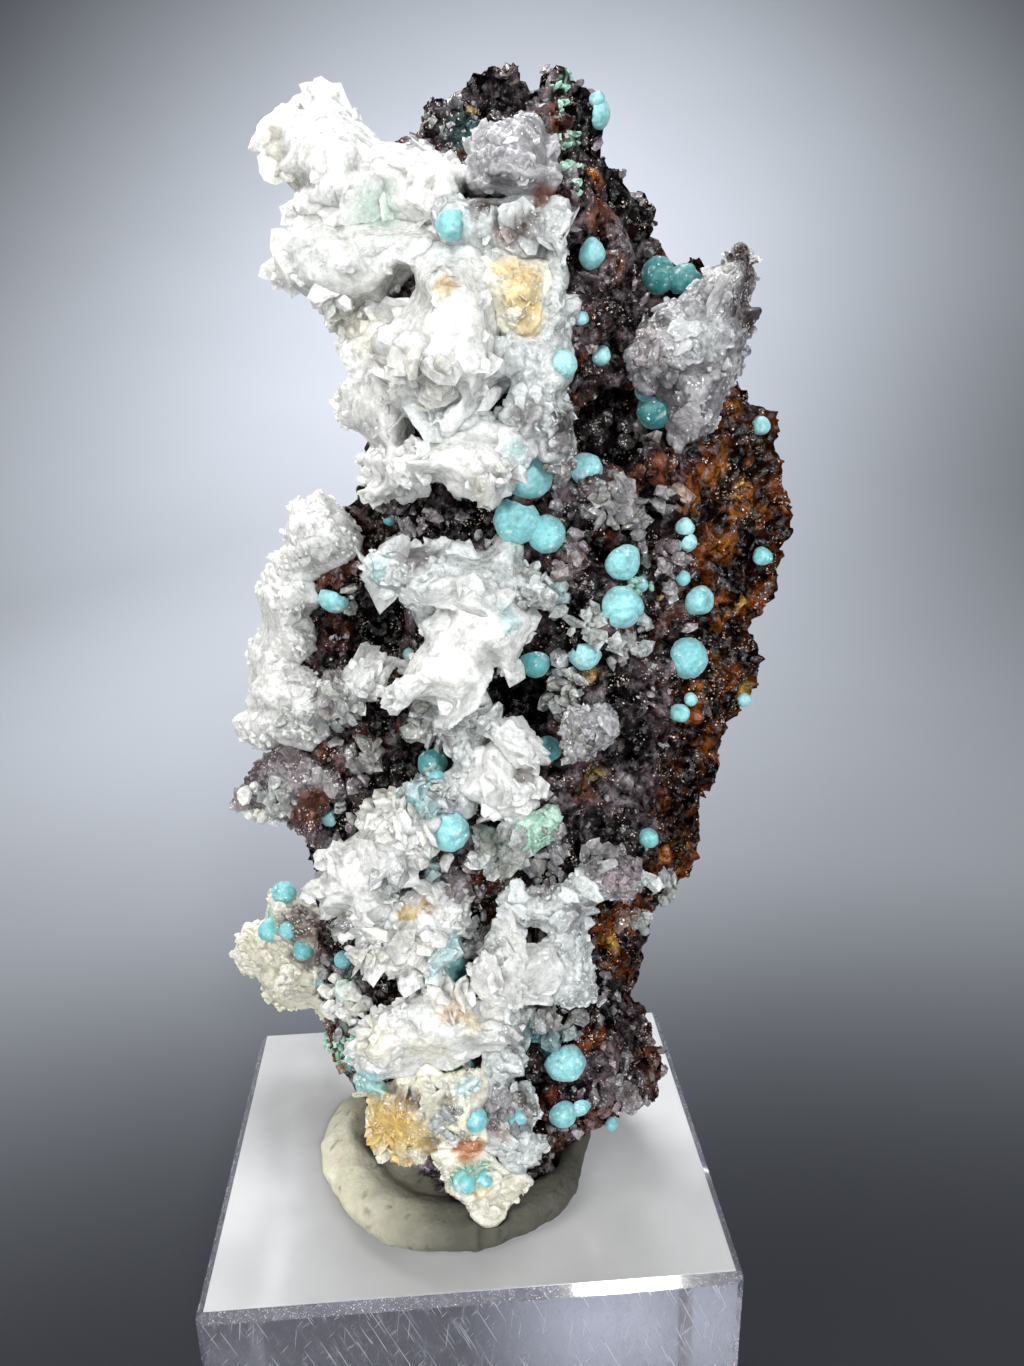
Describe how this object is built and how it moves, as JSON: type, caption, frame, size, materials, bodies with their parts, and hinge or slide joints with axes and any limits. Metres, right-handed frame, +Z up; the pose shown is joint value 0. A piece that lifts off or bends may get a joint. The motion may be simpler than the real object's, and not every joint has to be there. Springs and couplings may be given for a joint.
{
  "type": "aurichalcite on calcite mineral specimen on a display block",
  "caption": "Brown limonite rock grown over with white calcite plates, grey druse and turquoise aurichalcite balls, stood in putty on a clear display block.",
  "frame": {"origin": "centre of the display block's bottom face", "axes": "+X to the right and +Y away from the viewer along the block's sides, +Z up"},
  "size_m": [0.0365, 0.0254, 0.097],
  "materials": {
    "acrylic": "clear acrylic, polished sides and a hazy sawn top",
    "putty": "matte display putty",
    "limonite": "rough and pitted",
    "druse": "sparkling crystal crust",
    "calcite_white": "translucent white crystal",
    "calcite_grey": "translucent grey crystal",
    "calcite_stained": "iron-stained crystal",
    "aurichalcite": "velvety turquoise",
    "rosasite": "crusty pale green"
  },
  "bodies": {
    "root": {"acrylic_block": "acrylic", "putty_ring": "putty", "limonite_rock": "limonite", "calcite_flower": "calcite_white", "calcite_lower_blade": "calcite_white", "calcite_lower_plate": "calcite_white", "calcite_cascade": "calcite_white", "calcite_shelf": "calcite_white", "calcite_centre_boss": "calcite_white", "calcite_second_fan": "calcite_white", "calcite_top_fan": "calcite_white", "calcite_left_ruffle": "calcite_white", "calcite_left_knob": "calcite_white", "calcite_left_wall": "calcite_white", "calcite_left_blade": "calcite_white", "calcite_lower_fan": "calcite_white", "calcite_small_crystals": "calcite_white", "calcite_foot_mass": "calcite_white", "calcite_foot_tip": "calcite_white", "calcite_back_cluster": "calcite_white", "calcite_shelf_wedge": "calcite_grey", "calcite_ridge_column": "calcite_grey", "calcite_collar": "calcite_grey", "calcite_grey_crown": "calcite_grey", "calcite_middle_plates": "calcite_grey", "calcite_lower_wedges": "calcite_grey", "calcite_right_sheet": "calcite_grey", "calcite_foot_right": "calcite_grey", "calcite_stained_face": "calcite_stained", "calcite_foot_ochre": "calcite_stained", "druse_right_blade": "druse", "druse_left_lumps": "druse", "druse_grey_lump": "druse", "rosasite_mass": "rosasite", "aurichalcite_ball_top": "aurichalcite", "aurichalcite_ball_ridge": "aurichalcite", "aurichalcite_pair_hollow": "aurichalcite", "aurichalcite_ball_boss": "aurichalcite", "aurichalcite_ball_pale": "aurichalcite", "aurichalcite_pair_cave": "aurichalcite", "aurichalcite_ball_shelf": "aurichalcite", "aurichalcite_ball_shelf_right": "aurichalcite", "aurichalcite_pair_middle": "aurichalcite", "aurichalcite_ball_upper_right": "aurichalcite", "aurichalcite_pair_right": "aurichalcite", "aurichalcite_ball_far_right": "aurichalcite", "aurichalcite_ball_bright": "aurichalcite", "aurichalcite_pair_white": "aurichalcite", "aurichalcite_ball_crusted": "aurichalcite", "aurichalcite_ball_flower": "aurichalcite", "aurichalcite_ball_left": "aurichalcite", "aurichalcite_ball_blade": "aurichalcite", "aurichalcite_ball_dark": "aurichalcite", "aurichalcite_pair_fan": "aurichalcite", "aurichalcite_ball_lower": "aurichalcite", "aurichalcite_pair_foot": "aurichalcite", "aurichalcite_ball_foot_left": "aurichalcite", "aurichalcite_ball_foot": "aurichalcite", "aurichalcite_pair_foot_right": "aurichalcite", "aurichalcite_ball_collar": "aurichalcite"}
  },
  "joints": []
}
